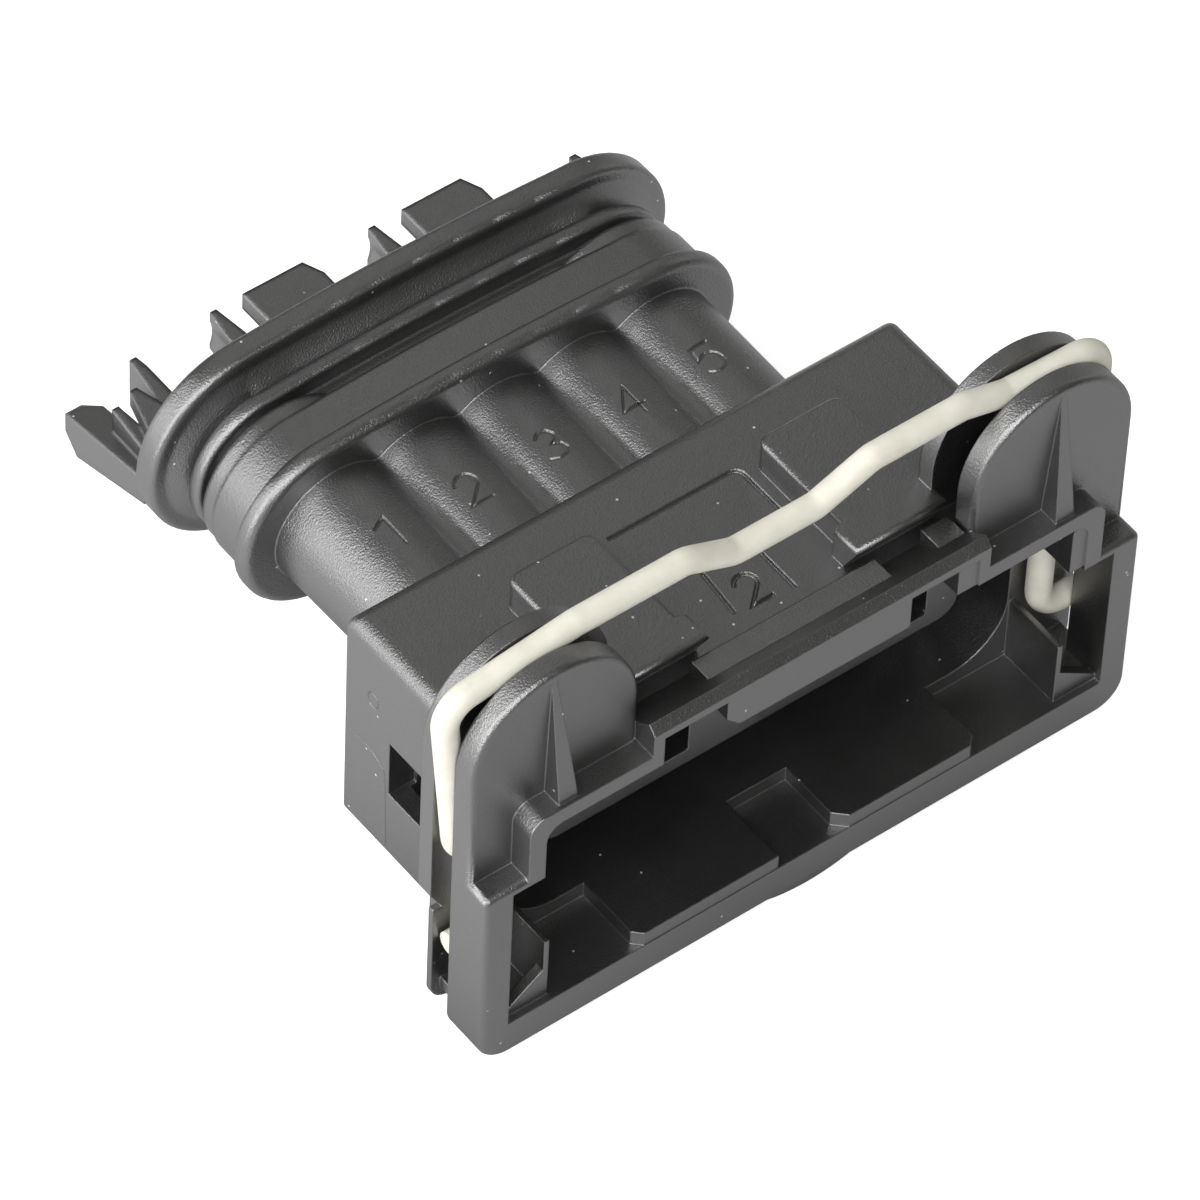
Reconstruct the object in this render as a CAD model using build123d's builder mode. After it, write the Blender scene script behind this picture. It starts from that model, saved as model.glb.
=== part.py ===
from build123d import *
import os

# Five-way sealed wire connector: one black moulding, the wire spring that locks it
# and the gasket inside its mouth.
# X runs along the row of cavities, Y from the mating face to the wire end, Z up.
# The origin is the middle of the frame's bottom edge, in the mating face.
# All sizes are millimetres.

os.makedirs("parts", exist_ok=True)

# Cavities
ways = 5
pitch = 5.0
axis_height = 9.6
bore_radius = 2.2
bore_front = 13.0
bore_relief = 0.25
slot_width = 2.1
slot_height = 3.2

# Depths along Y, counted from the mating face
frame_depth = 2.75
ear_front = 1.45
spring_slot = 1.6
rear_plate_thickness = 1.0
nose_recess = 5.1
well_end = 12.0
block_end = 16.1
collar_start = 26.3

# Front frame
side_wall = 1.68
floor_height = 2.3
frame_corner = 1.8
frame_edge = 0.35
shelf_height = 12.75
shelf_wall = 0.45
shelf_corner = 0.4
riser_inset = 2.6
riser_round = 1.0
run_wall = 1.0
lip_half = 10.4
lip_rise = 1.95
lip_run = 3.2
lip_flat = 0.5
lip_wall = 0.65

# Ears that guide the spring
ear_radius = 5.05
ear_height = 25.2
ear_edge = 0.35
rear_ear_radius = 5.2
rear_plate_bottom = 0.65
rear_plate_inset = 0.75
rear_plate_step = 7.8
rear_plate_step_rise = 1.3
rear_corner = 1.2
skirt_inset = 0.2
skirt_thickness = 0.35
gusset_foot_width = 1.2
gusset_tip_width = 0.3
gusset_drop = 0.4
gusset_shift = 0.25
gusset_reach = 1.25

# Block behind the frame
block_bottom = 2.47
block_rise = 7.27
block_margin = 7.08
block_corner = 0.45
block_edge = 1.0

# Well round the nose, and the nose itself
mouth_margin = 1.64
well_side_wall = 1.2
well_top_wall = 1.45
well_floor = 3.2
well_corner = 3.4
nose_half_height = 2.6
nose_overhang = 3.1
nose_corner = 1.2

# Raised rails on top
rail_inner = 5.1
rail_outer = 10.35
rail_rise = 1.95
rail_front = 3.35
rail_shoulder = 5.4
rail_end = 12.1
rail_step = 0.55
rail_undercut = 0.9
rail_brow = 0.35
rail_corner = 0.7
rail_edge = 0.3

# Keys and guides in the mouth
key_left = -5.9
key_right = 5.45
key_height = 2.1
key_depth = 3.0
key_chamfer = 0.8
tab_width = 1.25
tab_height = 1.9
riser_rib_x = 16.75
riser_rib_radius = 0.85
riser_rib_gap = 0.87
riser_rib_drop = 2.6
pad_inner = 1.9
pad_outer = 10.8
pad_corner = 0.5
pad_front = 0.05
pad_notch = 0.7
guide_half = 16.3
guide_wall = 0.3
guide_top = 6.45
guide_set_back = 0.45
guide_web = 0.6
guide_web_top = 4.3

# Lug under the frame's bottom edge
lug_left = -2.5
lug_right = 3.0
lug_drop = 0.42
lug_depth = 1.2

# Window in each side of the block
window_start = 9.5
window_length = 2.7
window_bottom = 6.85
window_height = 3.85

# Tubes behind the block
tube_radius = 3.8
tube_radius_front = 3.55
valley_depth_front = 2.6
valley_depth_rear = 0.9
valley_half_width = 0.55
valley_length = 7.0

# Oval collar, with radii measured from the outer cavity axes
collar_shift = 0.26
collar_bow = 0.36
lip_radius = 5.3
lip_length = 1.05
lip_front_edge = 0.5
land_radius = 4.85
land_length = 2.4
end_boss_drop = 0.12
end_boss_length = 0.95
core_radius = 3.5
groove_length = 1.55
bead_radius = 4.6
bead_length = 0.95
flange_gap = 0.95
flange_radius = 6.1
flange_length = 1.5
flange_flare = 0.9
collar_edge = 0.3

# Fingers behind the flange
hook_width = 4.25
hook_stem_width = 2.4
hook_stem_length = 0.9
hook_length = 3.7
hook_thickness = 1.1
hook_height = 4.3
hook_clip = 0.5
hook_clip_length = 1.2
fin_half_width = 1.0
fin_length = 5.5
fin_bottom = -1.2
fin_top = 1.5
outer_fin_drop = 0.4
spur_offset = 4.8
spur_half_width = 0.6
spur_length = 3.8
spur_bottom = -1.4
spur_top = 0.4
wedge_tip = 0.2
prong_offset = 3.9
prong_half_width = 1.3
prong_length = 3.5
prong_bottom = 0.4
prong_top = 1.5
finger_inner = 4.2
finger_outer = 6.0
finger_bottom = -4.1
finger_root_bottom = -2.3
finger_root_top = -0.5
finger_tip_top = -1.7
finger_tip_bottom = -3.0
finger_length = 6.5
finger_heel = 5.5
finger_point = 0.8

# Wire spring
wire_diameter = 1.4
leg_clearance = 0.15
leg_step = 2.45
leg_lean = 1.0
leg_step_top = 13.4
leg_step_bottom = 11.1
foot_height = 5.75
foot_length = 2.65
wire_bend = 1.55
crown_corner = 24.1
crown_top = 25.15
crown_shoulder = 24.35
crown_dip = 23.85
dip_left = -3.2
dip_right = 1.8
hump_left = -6.2
hump_right = 5.2
slope_left = -12.8
slope_right = 10.8
slope_foot = 13.6

# Gasket
gasket_clearance = 0.1
gasket_thickness = 1.3
gasket_length = 2.4
gasket_lip = 0.3
gasket_lip_inset = 0.6

# Sizes that follow
block_top = axis_height + block_rise
span = (ways - 1) * pitch / 2
cavities = [number * pitch - span for number in range(ways)]
valleys = [x + pitch / 2 for x in cavities[:-1]]
block_half = span + block_margin
mouth_half = block_half + mouth_margin
frame_half = mouth_half + side_wall
slot_end = frame_depth + spring_slot
rear_plate_end = slot_end + rear_plate_thickness
riser_half = frame_half - riser_inset
run_half = riser_half - run_wall
ceiling = block_top - run_wall
ear_centre = frame_half - ear_radius
ear_arc_height = ear_height - ear_radius
rear_ear_centre = frame_half - rear_ear_radius
rear_ear_arc_height = ear_height - rear_ear_radius
lip_top = block_top + lip_rise
lip_inside = lip_half - lip_wall
riser_rib_top = block_top - riser_rib_gap
well_half = block_half - well_side_wall
well_top = block_top - well_top_wall
nose_half = span + nose_overhang
collar_reach = span + collar_shift
lip_end = collar_start + lip_length
land_end = lip_end + land_length
groove_end = land_end + groove_length
bead_end = groove_end + bead_length
flange_start = bead_end + flange_gap
collar_end = flange_start + flange_length
rear_plate_low = frame_half - rear_plate_inset
leg_inside = guide_half + leg_clearance + wire_diameter / 2
leg_outside = leg_inside + leg_step
foot_end = leg_inside + foot_length
bite = 0.4


def facing_front(depth):
    """Plane square to Y at the given depth, with X to the right and Z up."""
    return Plane.XZ.offset(-depth)


def slab(x_range, y_range, z_range, mode=Mode.ADD):
    """Straight block between the given limits."""
    limits = (x_range, y_range, z_range)
    with Locations([tuple((low + high) / 2 for low, high in limits)]):
        Box(*[high - low for low, high in limits], mode=mode)


def upright(half_width, bottom, top):
    """Rectangle on a front-facing plane, centred on the middle plane."""
    with Locations((0, (bottom + top) / 2)):
        Rectangle(2 * half_width, top - bottom)


# Front ear: a plate with a round top, its front edge rounded
with BuildPart() as ear:
    with BuildSketch(facing_front(frame_depth)):
        with Locations((ear_centre, ear_arc_height)):
            Circle(ear_radius)
        with Locations((ear_centre, (shelf_height - bite + ear_arc_height) / 2)):
            Rectangle(2 * ear_radius, ear_arc_height - shelf_height + bite)
    extrude(amount=frame_depth - ear_front)
    front_face = ear.faces().sort_by(Axis.Y)[0]
    fillet(front_face.edges().filter_by(GeomType.CIRCLE), ear_edge)

# Gusset in front of each ear, thin at its tip
with BuildPart() as gusset:
    with BuildSketch(Plane.XY.offset(block_top - bite)):
        with Locations((ear_centre, ear_front + bite - (gusset_reach + bite) / 2)):
            Rectangle(gusset_foot_width, gusset_reach + bite)
    with BuildSketch(Plane.XY.offset(ear_height - gusset_drop)):
        with Locations((ear_centre + gusset_shift, ear_front + bite / 2)):
            Rectangle(gusset_tip_width, bite)
    loft(ruled=True)

# Rear plate, from the frame's bottom web up to a second pair of ears, with a thin skirt
with BuildPart() as rear_plate:
    with BuildSketch(facing_front(slot_end + skirt_thickness)) as skirt_outline:
        upright(frame_half - skirt_inset, rear_plate_bottom, rear_plate_step)
        fillet(skirt_outline.vertices().group_by(Axis.Y)[0], rear_corner)
    extrude(amount=skirt_thickness)
    with BuildSketch(facing_front(rear_plate_end)) as rear_outline:
        upright(rear_plate_low, rear_plate_bottom, block_top)
        fillet(rear_outline.vertices().group_by(Axis.Y)[0], rear_corner)
        with BuildLine():
            Polyline(
                (-rear_plate_low, rear_plate_step),
                (rear_plate_low, rear_plate_step),
                (frame_half, rear_plate_step + rear_plate_step_rise),
                (frame_half, block_top),
                (-frame_half, block_top),
                (-frame_half, rear_plate_step + rear_plate_step_rise),
                close=True,
            )
        make_face()
        for side in (-1, 1):
            with Locations((side * rear_ear_centre, rear_ear_arc_height)):
                Circle(rear_ear_radius)
            with Locations((side * rear_ear_centre, (shelf_height + rear_ear_arc_height) / 2)):
                Rectangle(2 * rear_ear_radius, rear_ear_arc_height - shelf_height)
    extrude(amount=rear_plate_thickness)

# Block that holds the cavities
with BuildPart() as block:
    with BuildSketch(facing_front(block_end)):
        upright(block_half, block_bottom, block_top)
    extrude(amount=block_end - slot_end)
    fillet(block.edges().filter_by(Axis.Z).group_by(Axis.Y)[-1], block_corner)
    top_face = block.faces().sort_by(Axis.Z)[-1]
    front_edge = top_face.edges().sort_by(Axis.Y)[0]
    fillet([edge for edge in top_face.edges() if edge != front_edge], block_edge)

# Raised rail, wider towards the middle over its front part
with BuildPart() as rail:
    with BuildSketch(Plane.XY.offset(block_top - bite)):
        with BuildLine():
            Polyline(
                (rail_outer, rail_front),
                (rail_outer, rail_end),
                (rail_inner, rail_end),
                (rail_inner, rail_shoulder),
                (rail_inner - rail_step, rail_shoulder - rail_step / 2),
                (rail_inner - rail_step, rail_front),
                close=True,
            )
        make_face()
    extrude(amount=rail_rise + bite)
    fillet(rail.edges().filter_by(Axis.Z).group_by(Axis.Y)[-1], rail_corner)
    fillet(rail.faces().sort_by(Axis.Z)[-1].edges(), rail_edge)
    with BuildSketch(Plane.YZ.offset(rail_inner - rail_step - bite)):
        with BuildLine():
            Polyline(
                (rail_front - bite, block_top),
                (rail_front + rail_undercut, block_top),
                (rail_front, lip_top - rail_brow),
                (rail_front - bite, lip_top - rail_brow),
                close=True,
            )
        make_face()
    extrude(amount=rail_outer - rail_inner + rail_step + 2 * bite, mode=Mode.SUBTRACT)
    mirror(about=Plane.YZ)

# V-shaped valley between two tubes, deep at the block and fading towards the collar
with BuildPart() as valley:
    for depth, sunk in ((block_end - bite, valley_depth_front),
                        (block_end + valley_length, valley_depth_rear)):
        with BuildSketch(facing_front(depth)):
            with BuildLine():
                Polyline(
                    (0, tube_radius - sunk),
                    (valley_half_width, tube_radius + bite),
                    (-valley_half_width, tube_radius + bite),
                    close=True,
                )
            make_face()
    loft(ruled=True)
    mirror(about=Plane.XY)

def oval(radius):
    """Outline round all the tubes: half circles joined by two slightly bowed sides."""
    with BuildSketch() as outline:
        with BuildLine():
            for side in (-1, 1):
                ThreePointArc(
                    (-collar_reach, axis_height + side * radius),
                    (0, axis_height + side * (radius + collar_bow)),
                    (collar_reach, axis_height + side * radius),
                )
                ThreePointArc(
                    (side * collar_reach, axis_height + radius),
                    (side * (collar_reach + radius), axis_height),
                    (side * collar_reach, axis_height - radius),
                )
        make_face()
    return outline.sketch


def oval_ring(front, rear, radius, front_round, rear_round):
    """Disc with the oval outline and both rims rounded."""
    with BuildPart() as ring:
        with BuildSketch(facing_front(rear)):
            add(oval(radius))
        extrude(amount=rear - front)
        fillet(ring.faces().sort_by(Axis.Y)[0].edges(), front_round)
        fillet(ring.faces().sort_by(Axis.Y)[-1].edges(), rear_round)
    return ring.part


# Collar: a lip, a land, a thin bead and a flange that flares out of the last groove
lip = oval_ring(collar_start, lip_end, lip_radius, lip_front_edge, collar_edge / 2)
bead = oval_ring(groove_end, bead_end, bead_radius, collar_edge, collar_edge)
flange = oval_ring(flange_start, collar_end, flange_radius, collar_edge, collar_edge)
with BuildPart() as collar:
    with BuildSketch(facing_front(land_end)):
        add(oval(land_radius))
    extrude(amount=land_end - lip_end)
    with BuildSketch(facing_front(land_end + end_boss_length)):
        with Locations((-collar_reach, axis_height), (collar_reach, axis_height)):
            Circle(land_radius - end_boss_drop)
    extrude(amount=end_boss_length)
    with BuildSketch(facing_front(collar_end - collar_edge)):
        add(oval(core_radius))
    extrude(amount=collar_end - collar_edge - land_end)
    with BuildSketch(facing_front(flange_start + collar_edge)):
        add(oval(flange_radius - collar_edge))
    with BuildSketch(facing_front(flange_start - flange_flare)):
        add(oval(core_radius))
    loft(ruled=True)
    add(lip)
    add(bead)
    add(flange)

# Hook behind a tube: a narrow stem and a wider head with one clipped corner
with BuildPart() as hook:
    with BuildSketch(Plane.XY.offset(hook_height - hook_thickness)):
        with BuildLine():
            Polyline(
                (-hook_stem_width / 2, -bite),
                (-hook_stem_width / 2, hook_stem_length),
                (-hook_width / 2, hook_stem_length),
                (-hook_width / 2, hook_length),
                (hook_width / 2 - hook_clip, hook_length),
                (hook_width / 2, hook_length - hook_clip_length),
                (hook_width / 2, hook_stem_length),
                (hook_stem_width / 2, hook_stem_length),
                (hook_stem_width / 2, -bite),
                close=True,
            )
        make_face()
    extrude(amount=hook_thickness)
    mirror(about=Plane.XY)


def wedge(length, half_width, bottom, top):
    """Wedge that stands behind the flange and narrows towards its tip."""
    with BuildPart() as shape:
        with BuildSketch(Plane.XY.offset(bottom)):
            with BuildLine():
                Polyline(
                    (-half_width, -bite),
                    (-wedge_tip, length),
                    (wedge_tip, length),
                    (half_width, -bite),
                    close=True,
                )
            make_face()
        extrude(amount=top - bottom)
    return shape.part


# Fin between two bores, spur outside the left bore, and prong beside each outer bore
fin = wedge(fin_length, fin_half_width, fin_bottom, fin_top)
spur = wedge(spur_length, spur_half_width, spur_bottom, spur_top)
prong = wedge(prong_length, prong_half_width, prong_bottom, prong_top)

# Long finger beside the left tube, higher at its root
with BuildPart() as finger:
    with BuildSketch(Plane.YZ.offset(-finger_outer)):
        with BuildLine():
            Polyline(
                (-bite, finger_root_bottom),
                (-bite, finger_root_top),
                (finger_length, finger_tip_top),
                (finger_length, finger_tip_bottom),
                (finger_heel, finger_bottom),
                close=True,
            )
        make_face()
    extrude(amount=finger_outer - finger_inner)
    tip_face = finger.faces().sort_by(Axis.Y)[-1]
    chamfer(tip_face.edges().sort_by(Axis.X)[-1], finger_point)

# Well round the nose, with the nose left standing in it
with BuildPart() as well:
    with BuildSketch(facing_front(well_end)) as well_outline:
        upright(well_half, well_floor, well_top)
        fillet(well_outline.vertices(), well_corner)
    extrude(amount=well_end - frame_depth)
    with BuildSketch(facing_front(well_end)) as nose_outline:
        upright(nose_half, axis_height - nose_half_height, axis_height + nose_half_height)
        fillet(nose_outline.vertices(), nose_corner)
    extrude(amount=well_end - nose_recess, mode=Mode.SUBTRACT)

# Front opening of the mouth: wide below the shelves, higher under the run and the lip
with BuildPart() as mouth:
    with BuildSketch(facing_front(slot_end)) as mouth_outline:
        upright(mouth_half, floor_height, shelf_height - shelf_wall)
        upright(run_half, floor_height, ceiling)
        fillet(mouth_outline.vertices().group_by(Axis.Y)[-1], riser_round)
    extrude(amount=slot_end + bite)
    with BuildSketch(Plane.YZ.offset(-lip_inside)):
        with BuildLine():
            Polyline(
                (-bite, ceiling - bite),
                (-bite, lip_top - run_wall),
                (lip_flat / 2, lip_top - run_wall),
                (lip_run - bite, ceiling - bite),
                close=True,
            )
        make_face()
    extrude(amount=2 * lip_inside)

# Guide at each lower corner of the mouth: a thin wall along Y and a web in front
with BuildPart() as guide:
    slab((guide_half - guide_wall, guide_half), (guide_set_back, slot_end + bite),
         (floor_height - bite, guide_top))
    with BuildSketch(facing_front(guide_set_back + guide_web)):
        with BuildLine():
            Polyline(
                (guide_half - guide_wall, floor_height - bite),
                (mouth_half + bite, floor_height - bite),
                (mouth_half + bite, floor_height),
                (guide_half, guide_web_top),
                (guide_half - guide_wall, guide_web_top),
                close=True,
            )
        make_face()
    extrude(amount=guide_web)
    mirror(about=Plane.YZ)

# Pad on the mouth's floor, with its outer front corner cut off
with BuildPart() as pad:
    with BuildSketch(Plane.XY.offset(floor_height - bite)):
        with BuildLine():
            Polyline(
                (pad_inner, pad_front),
                (pad_outer - pad_corner, pad_front),
                (pad_outer, pad_front + pad_corner),
                (pad_outer, slot_end + bite),
                (pad_inner, slot_end + bite),
                close=True,
            )
        make_face()
    extrude(amount=well_floor - floor_height + bite)
    mirror(about=Plane.YZ)

# Window through each side wall of the well
with BuildPart() as window:
    slab((well_half - bite, block_half + bite), (window_start, window_start + window_length),
         (window_bottom, window_bottom + window_height))
    mirror(about=Plane.YZ)

# Housing: the moulding, solid first, then opened and given its keys
with BuildPart() as housing:
    with BuildSketch(facing_front(frame_depth)) as frame_outline:
        upright(frame_half, 0, shelf_height)
        upright(riser_half, 0, block_top)
        fillet(frame_outline.vertices().group_by(Axis.Y)[0], frame_corner)
        fillet(frame_outline.vertices().group_by(Axis.Y)[-1], riser_round)
        shelf_points = frame_outline.vertices().filter_by_position(
            Axis.Y, shelf_height - bite, shelf_height + bite
        )
        fillet(shelf_points.group_by(SortBy.DISTANCE)[-1], shelf_corner)
    extrude(amount=frame_depth)
    front_edges = housing.faces().sort_by(Axis.Y)[0].edges()
    fillet(front_edges.group_by(Axis.Z)[0], frame_edge)
    slab((-guide_half, guide_half), (frame_depth - bite, slot_end + bite),
         (rear_plate_bottom, block_top))
    with BuildSketch(facing_front(slot_end + bite)) as web_outline:
        upright(rear_plate_low, rear_plate_bottom, floor_height)
        fillet(web_outline.vertices().group_by(Axis.Y)[0], rear_corner)
    extrude(amount=spring_slot + 2 * bite)
    add(ear.part)
    add(gusset.part)
    mirror(about=Plane.YZ)
    add(rear_plate.part)
    add(block.part)
    with BuildSketch(Plane.YZ.offset(-lip_half)):
        with BuildLine():
            Polyline(
                (0, ceiling),
                (0, lip_top - run_wall / 2),
                (lip_flat, lip_top),
                (lip_run, block_top),
                (lip_run, ceiling),
                close=True,
            )
        make_face()
    extrude(amount=2 * lip_half)
    add(rail.part)
    for x in cavities:
        with Locations((x, (block_end + flange_start) / 2, axis_height)):
            Cone(
                tube_radius,
                tube_radius_front,
                flange_start - block_end + bite,
                rotation=(90, 0, 0),
            )
    for x in valleys:
        with Locations((x, 0, axis_height)):
            add(valley.part, mode=Mode.SUBTRACT)
    add(collar.part)
    for x in cavities[1::2]:
        with Locations((x, collar_end - bite / 2, axis_height)):
            add(hook.part)
    for x in valleys:
        with Locations((x, collar_end, axis_height)):
            add(fin)
    with Locations((cavities[0] - pitch / 2, collar_end, axis_height - outer_fin_drop)):
        add(fin)
    for side in (-1, 1):
        with Locations((side * (span + prong_offset), collar_end, axis_height)):
            add(prong)
    with Locations((-span - spur_offset, collar_end, axis_height)):
        add(spur)
    with Locations((-span, collar_end, axis_height)):
        add(finger.part)
    add(mouth.part, mode=Mode.SUBTRACT)
    add(well.part, mode=Mode.SUBTRACT)
    for x in cavities:
        with Locations((x, (nose_recess + bore_front) / 2, axis_height)):
            Box(slot_width, bore_front - nose_recess + 2 * bite, slot_height, mode=Mode.SUBTRACT)
        with Locations((x, (bore_front + collar_end + bite) / 2, axis_height)):
            Cylinder(bore_radius, collar_end + bite - bore_front, rotation=(90, 0, 0),
                     mode=Mode.SUBTRACT)
        with Locations((x, collar_end + finger_length / 2, axis_height)):
            Cylinder(bore_radius + bore_relief, finger_length, rotation=(90, 0, 0),
                     mode=Mode.SUBTRACT)
    add(window.part, mode=Mode.SUBTRACT)
    add(guide.part)
    add(pad.part)
    with BuildSketch(Plane.XY.offset(floor_height)):
        with BuildLine():
            Polyline(
                (pad_inner - bite, pad_front - bite),
                (pad_inner + pad_notch + bite, pad_front - bite),
                (pad_inner - bite, pad_front + pad_notch + bite),
                close=True,
            )
        make_face()
    extrude(amount=well_floor - floor_height + bite, mode=Mode.SUBTRACT)
    with BuildSketch(facing_front(lug_depth)):
        with BuildLine():
            ThreePointArc(
                (lug_left, 0), ((lug_left + lug_right) / 2, -lug_drop), (lug_right, 0)
            )
            Polyline((lug_right, 0), (lug_right, bite), (lug_left, bite), (lug_left, 0))
        make_face()
    extrude(amount=lug_depth - frame_edge / 2)
    with BuildSketch(facing_front(key_depth)):
        with BuildLine():
            Polyline(
                (key_left, lip_top - run_wall + bite / 2),
                (key_left, lip_top - run_wall - key_height + key_chamfer),
                (key_left + key_chamfer, lip_top - run_wall - key_height),
                (key_right, lip_top - run_wall - key_height),
                (key_right, lip_top - run_wall + bite / 2),
                close=True,
            )
        make_face()
    extrude(amount=key_depth)
    slab((lip_inside - tab_width, lip_inside + bite), (bite / 4, lip_run),
         (lip_top - run_wall - tab_height, lip_top - run_wall + bite / 4))
    with BuildSketch(facing_front(frame_depth)):
        with Locations((riser_rib_x, riser_rib_top - riser_rib_radius)):
            Circle(riser_rib_radius)
        with Locations((riser_rib_x, riser_rib_top - riser_rib_radius - riser_rib_drop / 2)):
            Rectangle(2 * riser_rib_radius, riser_rib_drop)
    extrude(amount=frame_depth - bite / 4)
housing.part.label = "housing"
export_step(housing.part, "parts/housing.step")


def round_the_nose(gap):
    """Outline of the nose, grown by the given gap."""
    with BuildSketch() as outline:
        upright(nose_half + gap, axis_height - nose_half_height - gap,
                axis_height + nose_half_height + gap)
        fillet(outline.vertices(), nose_corner + gap)
    return outline.sketch


# Gasket: a band round the nose with two raised lips, seated on the well's end wall
with BuildPart() as interface_gasket:
    with BuildSketch(facing_front(well_end)):
        add(round_the_nose(gasket_thickness))
        add(round_the_nose(gasket_clearance), mode=Mode.SUBTRACT)
    extrude(amount=gasket_length)
    for inset in (gasket_lip_inset, gasket_length - gasket_lip_inset):
        with BuildSketch(facing_front(well_end - inset + gasket_lip)):
            add(round_the_nose(gasket_thickness + gasket_lip))
            add(round_the_nose(gasket_clearance), mode=Mode.SUBTRACT)
        extrude(amount=2 * gasket_lip)
interface_gasket.part.label = "interface_gasket"
export_step(interface_gasket.part, "parts/interface_gasket.step")

# Spring: one bent wire, from foot to foot over the ears, with a dip to push on
wire_y = frame_depth + spring_slot / 2
leg = [
    (leg_outside, leg_step_top),
    (leg_inside, leg_step_bottom),
    (leg_inside, foot_height),
    (foot_end, foot_height),
]
crown = [
    (-leg_outside - leg_lean, crown_corner),
    (slope_left, crown_top),
    (hump_left, crown_top),
    (dip_left, crown_dip),
    (dip_right, crown_dip),
    (hump_right, crown_top),
    (slope_right, crown_top),
    (slope_foot, crown_shoulder),
    (leg_outside, crown_corner),
]
mirrored_leg = [(-x, z) for x, z in reversed(leg)]
with BuildPart() as wire_spring:
    with BuildLine() as route:
        FilletPolyline(
            *[(x, wire_y, z) for x, z in mirrored_leg + crown + leg],
            radius=wire_bend,
        )
    with BuildSketch(Plane(origin=route.edges()[0] @ 0, z_dir=route.edges()[0] % 0)):
        Circle(wire_diameter / 2)
    sweep(path=route.wires()[0])
wire_spring.part.label = "wire_spring"
export_step(wire_spring.part, "parts/wire_spring.step")
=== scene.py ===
import bpy
import bmesh
import math
from mathutils import Matrix, Vector


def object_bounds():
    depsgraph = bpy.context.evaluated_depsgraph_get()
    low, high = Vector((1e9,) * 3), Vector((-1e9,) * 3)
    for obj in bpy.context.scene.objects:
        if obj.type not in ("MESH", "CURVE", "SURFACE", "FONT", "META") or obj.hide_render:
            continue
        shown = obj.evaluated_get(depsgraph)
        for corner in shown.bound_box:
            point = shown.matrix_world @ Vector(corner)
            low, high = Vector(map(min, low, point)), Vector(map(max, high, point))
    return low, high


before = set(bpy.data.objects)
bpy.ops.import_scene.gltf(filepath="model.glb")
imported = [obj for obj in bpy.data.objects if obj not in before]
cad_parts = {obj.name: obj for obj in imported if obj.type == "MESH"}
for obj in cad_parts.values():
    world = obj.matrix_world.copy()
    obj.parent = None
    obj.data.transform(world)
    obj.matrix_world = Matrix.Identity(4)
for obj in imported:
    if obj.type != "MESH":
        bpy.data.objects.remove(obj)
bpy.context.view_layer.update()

# Camera
# The connector was photographed from the front left and well above, with a long
# lens, so its edges stay almost parallel.
photo_width = 1200
focal_length = 9782.2  # in the photograph's pixels, as its width
camera_place = Vector((-0.204904, -0.230771, 0.378395))
camera_heading = math.radians(39.559)
camera_drop = math.radians(49.241)
camera_roll = math.radians(2.912)

camera_data = bpy.data.cameras.new("camera")
camera_data.sensor_width = 36.0
camera_data.lens = focal_length / photo_width * camera_data.sensor_width
camera_data.clip_start = 0.05
camera_data.clip_end = 20
camera = bpy.data.objects.new("camera", camera_data)
bpy.context.scene.collection.objects.link(camera)
forward = Vector((
    math.sin(camera_heading) * math.cos(camera_drop),
    math.cos(camera_heading) * math.cos(camera_drop),
    -math.sin(camera_drop),
))
level_right = Vector((math.cos(camera_heading), -math.sin(camera_heading), 0))
level_up = level_right.cross(forward)
right = math.cos(camera_roll) * level_right + math.sin(camera_roll) * level_up
up = -math.sin(camera_roll) * level_right + math.cos(camera_roll) * level_up
turned = Matrix((right, up, -forward)).transposed().to_4x4()
turned.translation = camera_place
camera.matrix_world = turned
bpy.context.scene.camera = camera

# Housing
# One injection moulding in black glass-filled nylon: hood, ears, block, tubes and
# collar. Its skin is satin and finely pitted by the spark-eroded mould, its edges are
# slightly rounded, and some dust lies on it.
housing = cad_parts["housing"]


def new_finish(name):
    """Material with nodes, and its surface shader."""
    finish = bpy.data.materials.new(name)
    finish.use_nodes = True
    return finish, finish.node_tree.nodes["Principled BSDF"]


def clouds(finish, scale, detail, roughness=0.5):
    """Cloudy pattern that is fixed to the piece."""
    nodes = finish.node_tree.nodes
    place = nodes.new("ShaderNodeTexCoord")
    pattern = nodes.new("ShaderNodeTexNoise")
    pattern.inputs["Scale"].default_value = scale
    pattern.inputs["Detail"].default_value = detail
    pattern.inputs["Roughness"].default_value = roughness
    finish.node_tree.links.new(place.outputs["Object"], pattern.inputs["Vector"])
    return pattern.outputs["Fac"]


def tinted(finish, pattern, dark, light, start=0.0, end=1.0):
    """Colour that goes from dark to light while the pattern goes from start to end."""
    ramp = finish.node_tree.nodes.new("ShaderNodeValToRGB")
    ramp.color_ramp.elements[0].position = start
    ramp.color_ramp.elements[0].color = dark
    ramp.color_ramp.elements[1].position = end
    ramp.color_ramp.elements[1].color = light
    finish.node_tree.links.new(pattern, ramp.inputs["Fac"])
    return ramp.outputs["Color"]


def graded(finish, value, low, high, start=0.0, end=1.0):
    """Number that goes from low to high while the value goes from start to end."""
    grade = finish.node_tree.nodes.new("ShaderNodeMapRange")
    grade.inputs["From Min"].default_value = start
    grade.inputs["From Max"].default_value = end
    grade.inputs["To Min"].default_value = low
    grade.inputs["To Max"].default_value = high
    finish.node_tree.links.new(value, grade.inputs["Value"])
    return grade.outputs["Result"]


def reckoned(finish, operation, *values):
    """Result of a Math node, from numbers and other nodes' outputs."""
    math_node = finish.node_tree.nodes.new("ShaderNodeMath")
    math_node.operation = operation
    for socket, value in zip(math_node.inputs, values):
        if isinstance(value, bpy.types.NodeSocket):
            finish.node_tree.links.new(value, socket)
        else:
            socket.default_value = value
    return math_node.outputs["Value"]


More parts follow.
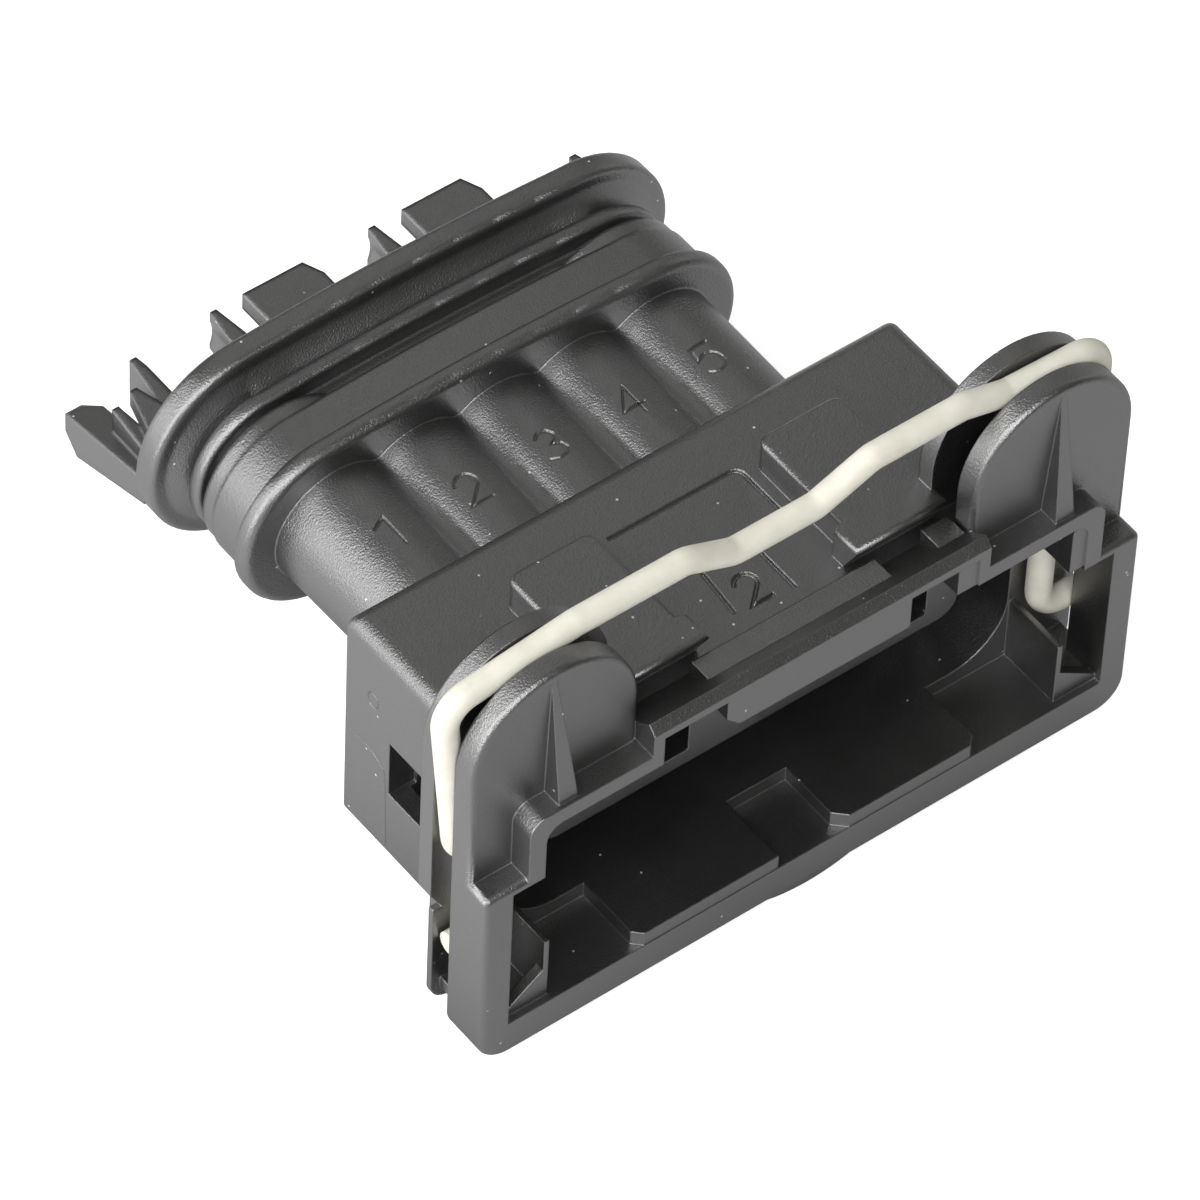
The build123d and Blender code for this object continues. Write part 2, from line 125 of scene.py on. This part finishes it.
def dented(finish, pattern, strength, depth):
    """Bump node that dents the surface where the pattern is low."""
    dents = finish.node_tree.nodes.new("ShaderNodeBump")
    dents.inputs["Strength"].default_value = strength
    dents.inputs["Distance"].default_value = depth
    finish.node_tree.links.new(pattern, dents.inputs["Height"])
    return dents


def coat(piece, finish):
    """Give the piece this finish and no other."""
    piece.data.materials.clear()
    piece.data.materials.append(finish)


nylon_dark = (0.0022, 0.0023, 0.0023, 1)
nylon_light = (0.0045, 0.0047, 0.0044, 1)
dust = (0.6, 0.6, 0.56, 1)

nylon, skin = new_finish("black_nylon")
nodes = nylon.node_tree.nodes
links = nylon.node_tree.links
skin.inputs["IOR"].default_value = 2.2
skin.inputs["Specular IOR Level"].default_value = 0.9
cloudy = clouds(nylon, scale=160, detail=3, roughness=0.6)
links.new(graded(nylon, cloudy, low=0.3, high=0.44), skin.inputs["Roughness"])

# Dust: a small round speck in some of the cells
place = nodes.new("ShaderNodeTexCoord")
cells = nodes.new("ShaderNodeTexVoronoi")
cells.inputs["Scale"].default_value = 900
links.new(place.outputs["Object"], cells.inputs["Vector"])
speck_edge = 0.075
speck_core = 0.045
bare_share = 0.62
speck = graded(nylon, cells.outputs["Distance"], 0, 1, speck_edge, speck_core)
chosen = reckoned(nylon, "GREATER_THAN", cells.outputs["Color"], bare_share)
dusted = nodes.new("ShaderNodeMix")
dusted.data_type = "RGBA"
dusted.inputs["B"].default_value = dust
links.new(reckoned(nylon, "MULTIPLY", speck, chosen), dusted.inputs["Factor"])
links.new(tinted(nylon, cloudy, nylon_dark, nylon_light, start=0.3, end=0.75),
          dusted.inputs["A"])
links.new(dusted.outputs["Result"], skin.inputs["Base Color"])

# Every edge is rounded a little, the collar's rims more, and the flanks of the valleys
# between the tubes by up to a further half millimetre
edge_radius = 0.00013
rim_radius = 0.0004
rims_start = 0.0262
rims_full = 0.0266
tube_pitch = 0.005
flank_start = 0.0015
flank_full = 0.0019
flank_radius = 0.0005
tubes_middle = 0.0211
tubes_half_length = 0.0048
tubes_half_width = 0.0101
spot = nodes.new("ShaderNodeSeparateXYZ")
links.new(place.outputs["Object"], spot.inputs["Vector"])
from_crown = reckoned(nylon, "PINGPONG", spot.outputs["X"], tube_pitch / 2)
flank = graded(nylon, from_crown, 0, flank_radius, flank_start, flank_full)
along = reckoned(nylon, "COMPARE", spot.outputs["Y"], tubes_middle, tubes_half_length)
across = reckoned(nylon, "COMPARE", spot.outputs["X"], 0, tubes_half_width)
in_valleys = reckoned(nylon, "MULTIPLY", along, across)
edge = graded(nylon, spot.outputs["Y"], edge_radius, rim_radius, rims_start, rims_full)
soft_edges = nodes.new("ShaderNodeBevel")
soft_edges.samples = 8
links.new(reckoned(nylon, "MULTIPLY_ADD", in_valleys, flank, edge),
          soft_edges.inputs["Radius"])

pits = clouds(nylon, scale=9000, detail=2)
pitted = dented(nylon, pits, strength=1.0, depth=0.00003)
links.new(soft_edges.outputs["Normal"], pitted.inputs["Normal"])
links.new(pitted.outputs["Normal"], skin.inputs["Normal"])

coat(housing, nylon)

# Engraved marks
# The mould tool carries raised strokes, which leave fine tapered grooves in the nylon:
# a number on each tube, a frame with the number of the version below it on the block,
# and the witness line of a tool insert and a round pin mark on the left face.
number_width = 0.00016
stroke_width = 0.00021
stroke_depth = 0.00019
insert_width = 0.00008
insert_depth = 0.00004
pin_width = 0.00012
pin_depth = 0.00005
stroke_reach = 0.0004  # how far the cutting bar stands out of the face
floor_share = 0.22  # half the groove's floor, for each unit of its width
flank_slope = 0.6  # how far a flank spreads, for each unit of the reach
tightest_corner = 0.5
upward = Vector((0, 0, 1))
leftward = Vector((-1, 0, 0))


def skin_over(mesh, rings, closed=False):
    """Faces from ring to ring of corners, with an end on an open bar; gives the sides."""
    sides = []
    followers = rings[1:] + rings[:1] if closed else rings[1:]
    for near, far in zip(rings, followers):
        for index in range(len(near)):
            turn = (index + 1) % len(near)
            sides.append(mesh.faces.new((near[index], near[turn], far[turn], far[index])))
    if not closed:
        mesh.faces.new(rings[0][::-1])
        mesh.faces.new(rings[-1])
    return sides


def cut_stroke(mesh, points, width, depth, outward, closed=False):
    """Wedge-shaped bar along the points, sunk by the depth, standing out along outward."""
    rings = []
    last = len(points) - 1
    for index, point in enumerate(points):
        before = points[index - 1] if index or closed else point
        after = points[(index + 1) % len(points)] if index < last or closed else point
        come = (point - before).normalized()
        go = (after - point).normalized()
        along = (come + go).normalized()
        aside = along.cross(outward).normalized()
        leaving = (go if go.length else come).cross(outward).normalized()
        corner = max(tightest_corner, aside.dot(leaving))
        end = Vector((0, 0, 0))
        if not closed and index in (0, last):
            end = along * (width / 3 if index else -width / 3)
        low = aside * width * floor_share / corner
        high = aside * (width / 2 + stroke_reach * flank_slope) / corner
        rings.append([
            mesh.verts.new(point + end - low - outward * depth),
            mesh.verts.new(point + end + low - outward * depth),
            mesh.verts.new(point + end + high + outward * stroke_reach),
            mesh.verts.new(point + end - high + outward * stroke_reach),
        ])
    skin_over(mesh, rings, closed)


def bow(centre, radius, start, end, steps=9):
    """Points of an arc, angles in degrees from the right, counted up."""
    turns = [math.radians(start + (end - start) * step / steps) for step in range(steps + 1)]
    return [(centre[0] + radius[0] * math.cos(turn), centre[1] + radius[1] * math.sin(turn))
            for turn in turns]


def hidden_tool(name, mesh):
    """Hidden object made from the mesh, for the housing's modifiers."""
    tool_mesh = bpy.data.meshes.new(name)
    mesh.to_mesh(tool_mesh)
    mesh.free()
    tool = bpy.data.objects.new(name, tool_mesh)
    bpy.context.scene.collection.objects.link(tool)
    tool.hide_render = True
    tool.hide_viewport = True
    return tool


# Each number is drawn in a field one unit high and about two thirds wide
upper_bow = bow((0.0, 0.25), (0.27, 0.25), 150, -90, steps=5)
lower_bow = bow((0.0, -0.25), (0.33, 0.25), 90, -150, steps=5)
numbers = [
    [[(-0.25, 0.31), (0.14, 0.5), (0.14, -0.5)]],
    [bow((0.0, 0.2), (0.31, 0.3), 165, -35) + [(-0.33, -0.5), (0.34, -0.5)]],
    [upper_bow + lower_bow[1:]],
    [[(0.3, -0.2), (-0.36, -0.2), (0.12, 0.5), (0.12, -0.5)]],
    [[(0.28, 0.5), (-0.24, 0.5), (-0.29, 0.06)] + bow((0.0, -0.16), (0.33, 0.34), 125, -145)],
]
number_height = 0.002
number_depth_place = 0.0215
number_shift = -0.0002
axis_height = 0.0096
tube_front_radius = 0.0038
tube_taper = 0.25 / 17.5
tube_start = 0.0161


def tube_radius(depth_place):
    """Outer radius of a tube at a distance behind the mating face."""
    return tube_front_radius - tube_taper * (depth_place - tube_start)


grooves = bmesh.new()
for number, lines in enumerate(numbers):
    middle = (number - len(numbers) // 2) * tube_pitch
    for line in lines:
        on_tube = []
        for x, y in line:
            depth_place = number_depth_place + y * number_height
            aside = x * number_height + number_shift
            rise = math.sqrt(tube_radius(depth_place) ** 2 - aside ** 2)
            on_tube.append(Vector((middle + aside, depth_place, axis_height + rise)))
        cut_stroke(grooves, on_tube, number_width, stroke_depth, upward)

# The marks on the flat faces have their places in millimetres
block_top = 0.01687
version_height = 1.94
version_middle = 5.8
frame_corner = bow((3.75, 11.81), (0.55, 0.55), 90, 0, steps=5)
frame_lines = [
    [(-3.7, 12.36), (3.75, 12.36)] + frame_corner[1:] + [(4.3, 9.0)],
    [(1.82, 7.28), (1.82, 4.61)],
    [(-1.35, 7.85), (-1.62, 5.04)],
    [(x * version_height, version_middle + y * version_height) for x, y in numbers[1][0]],
]
for line in frame_lines:
    on_block = [Vector((x / 1000, y / 1000, block_top)) for x, y in line]
    cut_stroke(grooves, on_block, stroke_width, stroke_depth, upward)

left_face = -0.01708
insert_line = [(15.9, 8.7), (15.1, 8.82), (14.2, 8.9), (13.4, 8.72), (12.6, 8.32),
               (12.45, 7.2), (12.3, 2.7)]
on_left = [Vector((left_face, y / 1000, z / 1000)) for y, z in insert_line]
cut_stroke(grooves, on_left, insert_width, insert_depth, leftward)
pin_mark = bow((13.6, 12.65), (0.42, 0.5), 0, 340, steps=14)
on_left = [Vector((left_face, y / 1000, z / 1000)) for y, z in pin_mark]
cut_stroke(grooves, on_left, pin_width, pin_depth, leftward, closed=True)

bmesh.ops.recalc_face_normals(grooves, faces=grooves.faces)
engraving_tool = hidden_tool("engraving_tool", grooves)

# Valleys between the tubes
# Part of the same moulding: each pair of tubes meets in a rounded channel, above and
# below, cut into the mould with a ball-nosed tool from the block to the collar.
valley_round = 0.0008
valley_start = 0.0155
valley_end = 0.0268
valley_root = (0.0003, 0.0011)
arc_half_steps = 8
crease_angle = 0.5
valley_count = len(numbers) - 1
valley_middles = [(valley - (valley_count - 1) / 2) * tube_pitch
                  for valley in range(valley_count)]

channels = bmesh.new()
for middle in valley_middles:
    for side in (1, -1):
        rings = []
        for depth_place in (valley_start, valley_end):
            reach = tube_radius(depth_place) + valley_round
            height = math.sqrt(reach ** 2 - (tube_pitch / 2) ** 2)
            spread = math.atan2(tube_pitch / 2, height)
            turns = [spread * (step / arc_half_steps - 1)
                     for step in range(2 * arc_half_steps + 1)]
            outline = [(valley_round * math.sin(turn), height - valley_round * math.cos(turn))
                       for turn in turns]
            outline += [valley_root, (-valley_root[0], valley_root[1])]
            rings.append([
                channels.verts.new((middle + x, depth_place, axis_height + side * z))
                for x, z in outline
            ])
        for face in skin_over(channels, rings)[:2 * arc_half_steps]:
            face.smooth = True
bmesh.ops.recalc_face_normals(channels, faces=channels.faces)
for ridge in channels.edges:
    ridge.smooth = ridge.calc_face_angle() < crease_angle
valley_channels = hidden_tool("valley_channels", channels)

# The block's rear wall runs on unbroken above and below each channel
wall = 0.016099
plug_half = 0.00065
plug_low = 0.002
plug_high = 0.0043
plug_outline = [(-plug_half, plug_low), (plug_half, plug_low),
                (plug_half, plug_high), (-plug_half, plug_high)]
plugs = bmesh.new()
for middle in valley_middles:
    for side in (1, -1):
        skin_over(plugs, [
            [plugs.verts.new((middle + x, depth_place, axis_height + side * z))
             for x, z in plug_outline]
            for depth_place in (valley_start, wall)
        ])
bmesh.ops.recalc_face_normals(plugs, faces=plugs.faces)
wall_plugs = hidden_tool("wall_plugs", plugs)

seams_closed = housing.modifiers.new("seams_closed", "WELD")
seams_closed.merge_threshold = 0.000001
for name, operation, tool in (
    ("wall_closed", "UNION", wall_plugs),
    ("rounded_valleys", "UNION", valley_channels),
    ("engraved", "DIFFERENCE", engraving_tool),
):
    change = housing.modifiers.new(name, "BOOLEAN")
    change.operation = operation
    change.solver = "MANIFOLD"
    change.object = tool

# Wire spring
# Hard-drawn steel wire, bent cold from foot to foot and coated with a pale matt
# paint. It sits in the slot between the frame and the rear plate.
wire_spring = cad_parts["wire_spring"]
cream_dark = (0.74, 0.71, 0.61, 1)
cream_light = (0.85, 0.82, 0.725, 1)

paint, skin = new_finish("pale_wire_paint")
links = paint.node_tree.links
skin.inputs["IOR"].default_value = 1.5
mottled = clouds(paint, scale=700, detail=4)
rough = dented(paint, mottled, strength=0.2, depth=0.00002)
links.new(tinted(paint, mottled, cream_dark, cream_light, start=0.3, end=0.7),
          skin.inputs["Base Color"])
links.new(graded(paint, mottled, low=0.4, high=0.62), skin.inputs["Roughness"])
links.new(rough.outputs["Normal"], skin.inputs["Normal"])
coat(wire_spring, paint)

# Gasket
# Moulded silicone ring, pushed over the nose to the end of the well. Two lips round
# its outside seal against the header.
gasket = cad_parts["interface_gasket"]
silicone_dark = (0.016, 0.016, 0.017, 1)
silicone_light = (0.032, 0.032, 0.034, 1)

silicone, skin = new_finish("dark_silicone")
links = silicone.node_tree.links
skin.inputs["IOR"].default_value = 1.41
bloom = clouds(silicone, scale=350, detail=3)
links.new(tinted(silicone, bloom, silicone_dark, silicone_light), skin.inputs["Base Color"])
links.new(graded(silicone, bloom, low=0.5, high=0.7), skin.inputs["Roughness"])
coat(gasket, silicone)

# Floor and light
# A plain white table in a bright room, lit softly from the left and the back. It lies
# It lies under the connector's lowest edge and shows white to the camera. Its mirror image
# in the nylon is a glow with painted shade, dimmer towards the front and close to the
# connector.
floor_half = 3.0
floor_gap = 0.0002
floor_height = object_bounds()[0].z - floor_gap
floor_mesh = bpy.data.meshes.new("floor")
floor_mesh.from_pydata(
    [(-floor_half, -floor_half, floor_height), (floor_half, -floor_half, floor_height),
     (floor_half, floor_half, floor_height), (-floor_half, floor_half, floor_height)],
    [], [(0, 1, 2, 3)],
)
floor = bpy.data.objects.new("floor", floor_mesh)
bpy.context.scene.collection.objects.link(floor)

white, table_skin = new_finish("white_table")
nodes = white.node_tree.nodes
links = white.node_tree.links
table_skin.inputs["Base Color"].default_value = (0.8, 0.8, 0.8, 1)
table_skin.inputs["Roughness"].default_value = 0.9

# Mirror image: painted shade, brightest at the left and the back, where the lamps stand, and
# dimmer towards the front
painted_bright_side = (-0.64, 0.77, 0)
painted_dim_reach = 0.022
painted_dimmest = 0.62
table_place = nodes.new("ShaderNodeTexCoord")
painted_gradient = nodes.new("ShaderNodeVectorMath")
painted_gradient.operation = "DOT_PRODUCT"
painted_gradient.inputs[1].default_value = painted_bright_side
links.new(table_place.outputs["Object"], painted_gradient.inputs[0])
painted_falloff = graded(white, painted_gradient.outputs["Value"], painted_dimmest, 1, 0, painted_dim_reach)
# Painted shadow: the mirrored glow is darkened within 12 mm of the connector
painted_near_shade = nodes.new("ShaderNodeAmbientOcclusion")
painted_near_shade.samples = 4
painted_near_shade.inputs["Distance"].default_value = 0.012
mirror_glow = nodes.new("ShaderNodeEmission")
links.new(reckoned(white, "MULTIPLY", painted_near_shade.outputs["AO"], painted_falloff),
          mirror_glow.inputs["Strength"])
ray = nodes.new("ShaderNodeLightPath")
mirrored = reckoned(white, "MAXIMUM", ray.outputs["Is Glossy Ray"],
                    ray.outputs["Is Transmission Ray"])
blend = nodes.new("ShaderNodeMixShader")
links.new(mirrored, blend.inputs["Fac"])
links.new(table_skin.outputs["BSDF"], blend.inputs[1])
links.new(mirror_glow.outputs["Emission"], blend.inputs[2])

# Extra glow that the camera alone sees
seen_glow = nodes.new("ShaderNodeEmission")
seen_glow.inputs["Strength"].default_value = 0.7
no_glow = nodes.new("ShaderNodeEmission")
no_glow.inputs["Strength"].default_value = 0
seen_only = nodes.new("ShaderNodeMixShader")
links.new(ray.outputs["Is Camera Ray"], seen_only.inputs["Fac"])
links.new(no_glow.outputs["Emission"], seen_only.inputs[1])
links.new(seen_glow.outputs["Emission"], seen_only.inputs[2])
lifted = nodes.new("ShaderNodeAddShader")
links.new(blend.outputs["Shader"], lifted.inputs[0])
links.new(seen_only.outputs["Shader"], lifted.inputs[1])
links.new(lifted.outputs["Shader"], nodes["Material Output"].inputs["Surface"])
floor_mesh.materials.append(white)

world = bpy.data.worlds.new("room")
bpy.context.scene.world = world
world.use_nodes = True
room_light = world.node_tree.nodes["Background"]
room_light.inputs["Color"].default_value = (0.97, 1, 0.92, 1)
room_light.inputs["Strength"].default_value = 0.1

lamp_aim = Vector((0, 0.015, 0.012))


def lamp(name, place, size, power):
    """Square soft light at a place, aimed at the connector."""
    data = bpy.data.lights.new(name, "AREA")
    data.shape = "SQUARE"
    data.size = size
    data.energy = power
    made = bpy.data.objects.new(name, data)
    bpy.context.scene.collection.objects.link(made)
    made.location = place
    made.rotation_mode = "QUATERNION"
    made.rotation_quaternion = (Vector(place) - lamp_aim).to_track_quat("Z", "Y")


lamp("left_light", (-0.55, 0.0, 0.10), 0.35, 1.8)
lamp("left_back_light", (-0.42, 0.38, 0.10), 0.35, 0.8)
lamp("left_high_light", (-0.4, 0.1, 0.45), 0.35, 1.6)
lamp("back_light", (0.2, 0.42, 0.5), 0.4, 0.22)
lamp("right_light", (0.5, 0.1, 0.25), 0.35, 0.2)
lamp("fill_light", (-0.25, -0.3, 0.45), 0.4, 2.3)

bpy.context.scene.view_settings.view_transform = "Standard"
